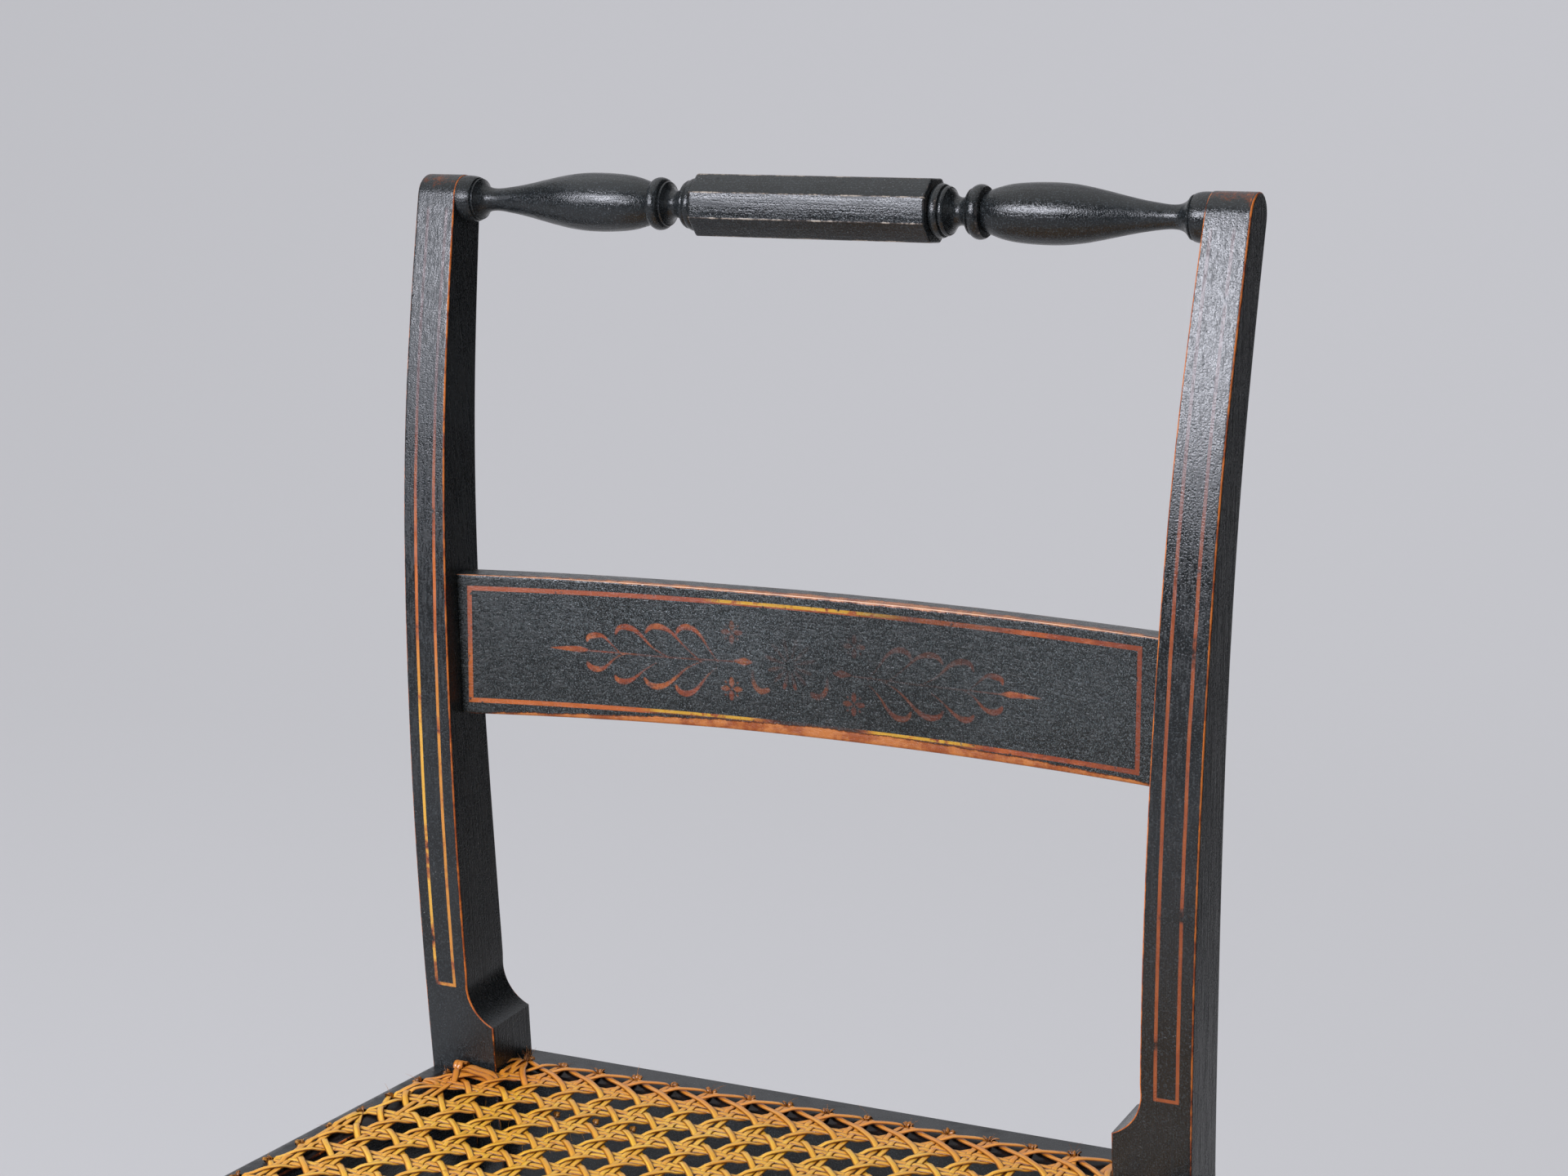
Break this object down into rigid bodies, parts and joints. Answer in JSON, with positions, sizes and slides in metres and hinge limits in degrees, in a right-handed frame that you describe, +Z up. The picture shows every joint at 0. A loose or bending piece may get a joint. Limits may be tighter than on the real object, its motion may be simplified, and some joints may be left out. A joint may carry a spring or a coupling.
{
  "type": "side chair",
  "caption": "Black-painted stenciled side chair with sabre-curved posts, an octagonal turned crest rail, a bowed middle rail, turned front legs and a hand-caned seat.",
  "frame": {"origin": "on the floor, under the middle of the chair's box", "axes": "+Z up, +Y to the back of the chair, +X to the right of someone who faces its front"},
  "size_m": [0.45, 0.44, 0.8461],
  "materials": {
    "black_paint": "thin old black oil paint on maple, satin, striped and stenciled in worn bronze and ochre",
    "cane": "glossy golden split rattan cane"
  },
  "bodies": {
    "root": {"left_post": "black_paint", "right_post": "black_paint", "crest_rail": "black_paint", "middle_rail": "black_paint", "rear_seat_rail": "black_paint", "front_seat_rail": "black_paint", "left_side_rail": "black_paint", "right_side_rail": "black_paint", "left_front_leg": "black_paint", "right_front_leg": "black_paint", "front_stretcher": "black_paint", "rear_stretcher": "black_paint", "upper_left_stretcher": "black_paint", "upper_right_stretcher": "black_paint", "lower_left_stretcher": "black_paint", "lower_right_stretcher": "black_paint", "cane_front_to_back": "cane", "cane_side_to_side": "cane", "cane_diagonal_left": "cane", "cane_diagonal_right": "cane"}
  },
  "joints": []
}
